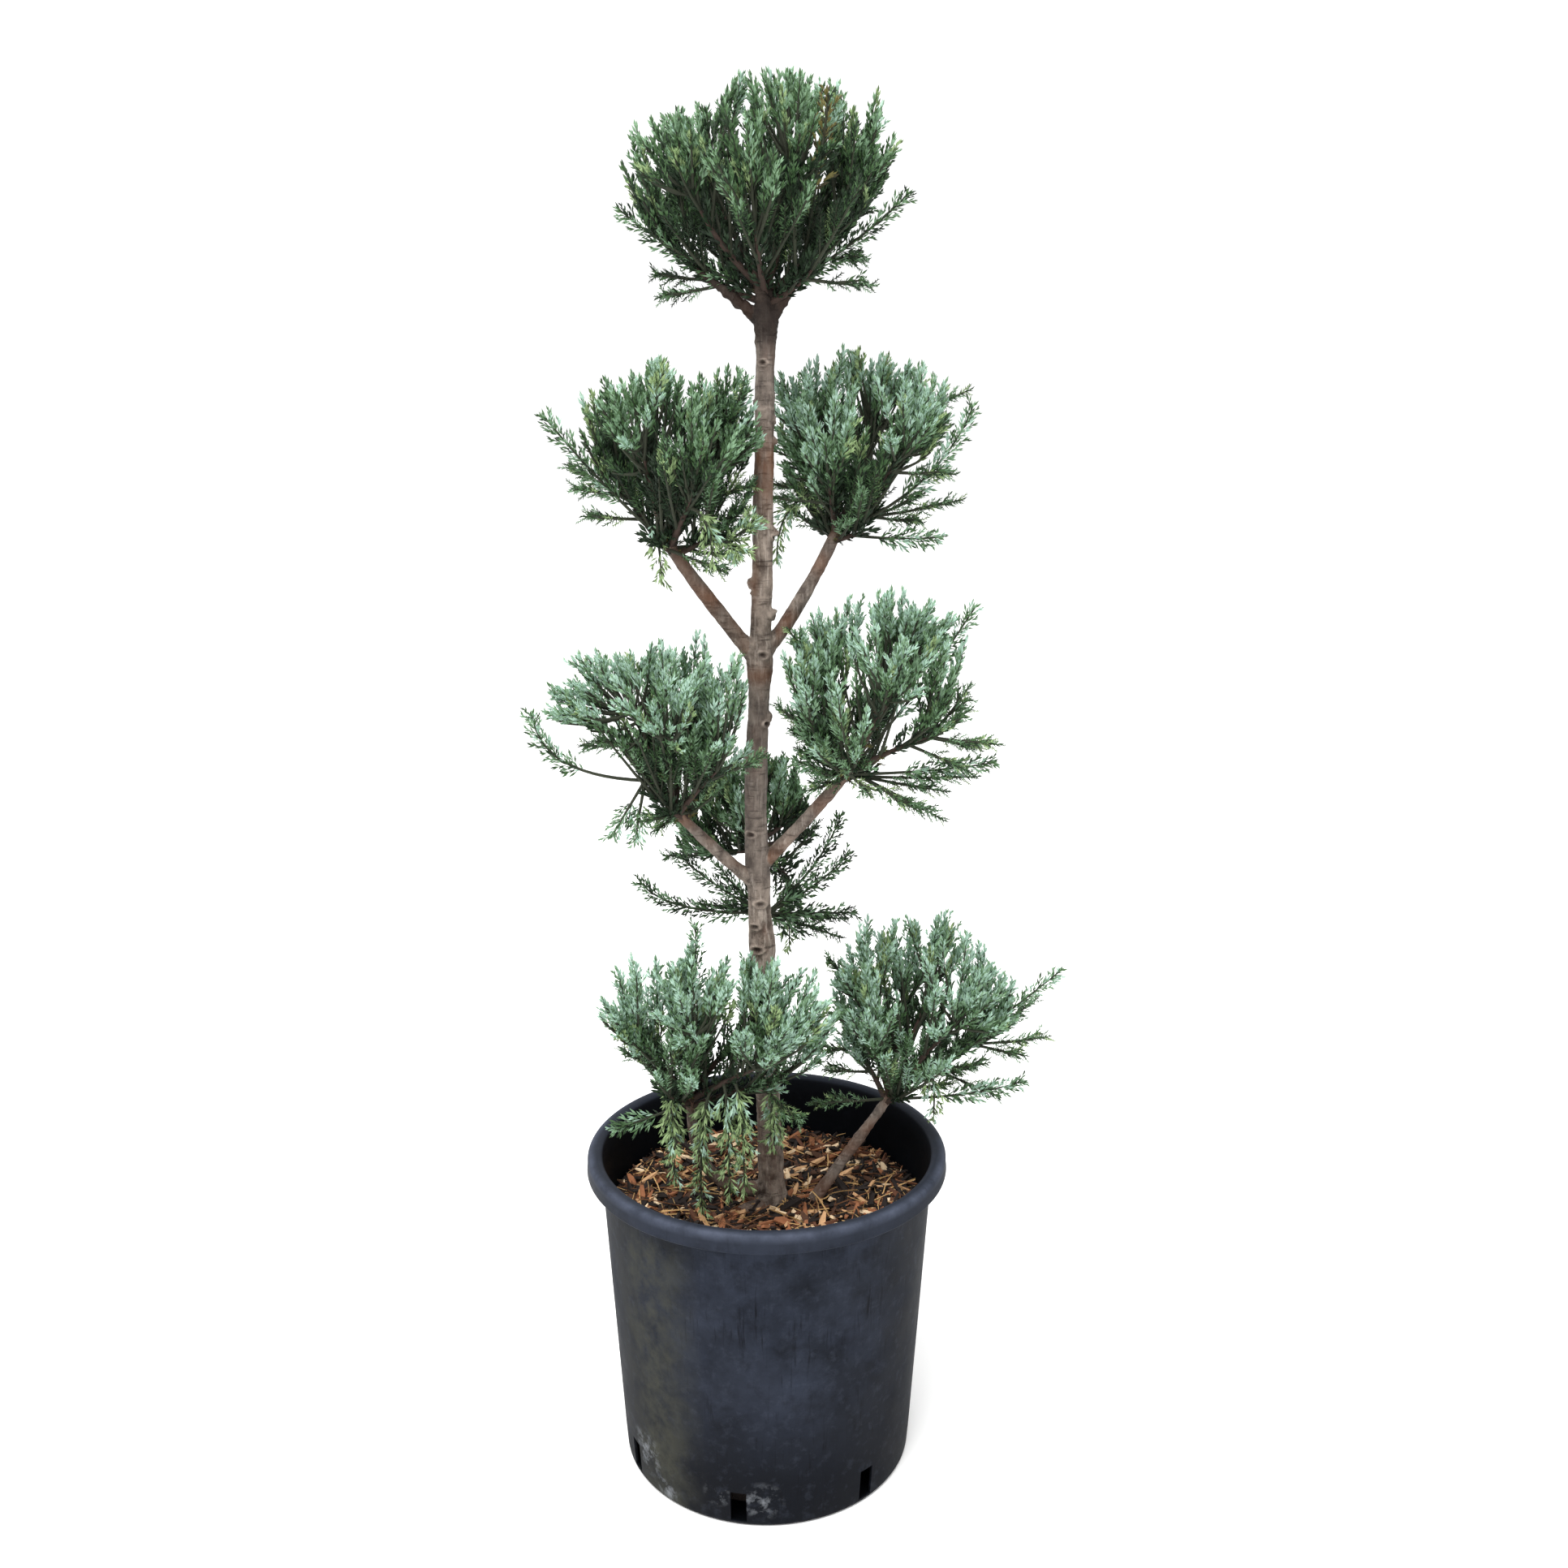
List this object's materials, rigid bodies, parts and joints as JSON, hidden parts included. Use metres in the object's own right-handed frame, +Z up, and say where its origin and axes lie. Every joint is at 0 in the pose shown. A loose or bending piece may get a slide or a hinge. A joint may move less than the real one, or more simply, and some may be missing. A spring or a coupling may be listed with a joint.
{
  "type": "potted juniper pompon topiary",
  "caption": "Slender juniper trained as a pompon topiary, with bare boughs ending in feathery blue-green tufts, in a round tapered nursery pot with bark chips.",
  "frame": {"origin": "centre of the pot's flat underside, on the ground", "axes": "+Z up the trunk, +X to the viewer's right in the picture, the picture taken from -Y"},
  "size_m": [0.418, 0.3146, 1.1066],
  "materials": {
    "pot": "moulded black plastic with a dusty bloom",
    "potting_mix": "loose composted bark chips",
    "bark": "thin grey-brown bark, dull",
    "foliage": "blue-green scale leaves with a waxy bloom"
  },
  "bodies": {
    "root": {"pot": "pot", "potting_mix": "potting_mix", "trunk": "bark", "bough_low_left": "bark", "bough_low_right": "bark", "bough_mid_left": "bark", "bough_mid_right": "bark", "bough_mid_back": "bark", "bough_high_left": "bark", "bough_high_right": "bark", "pompon_top": "foliage", "pompon_high_left": "foliage", "pompon_high_right": "foliage", "pompon_mid_left": "foliage", "pompon_mid_right": "foliage", "pompon_mid_back": "foliage", "pompon_low_left": "foliage", "pompon_low_right": "foliage"}
  },
  "joints": []
}
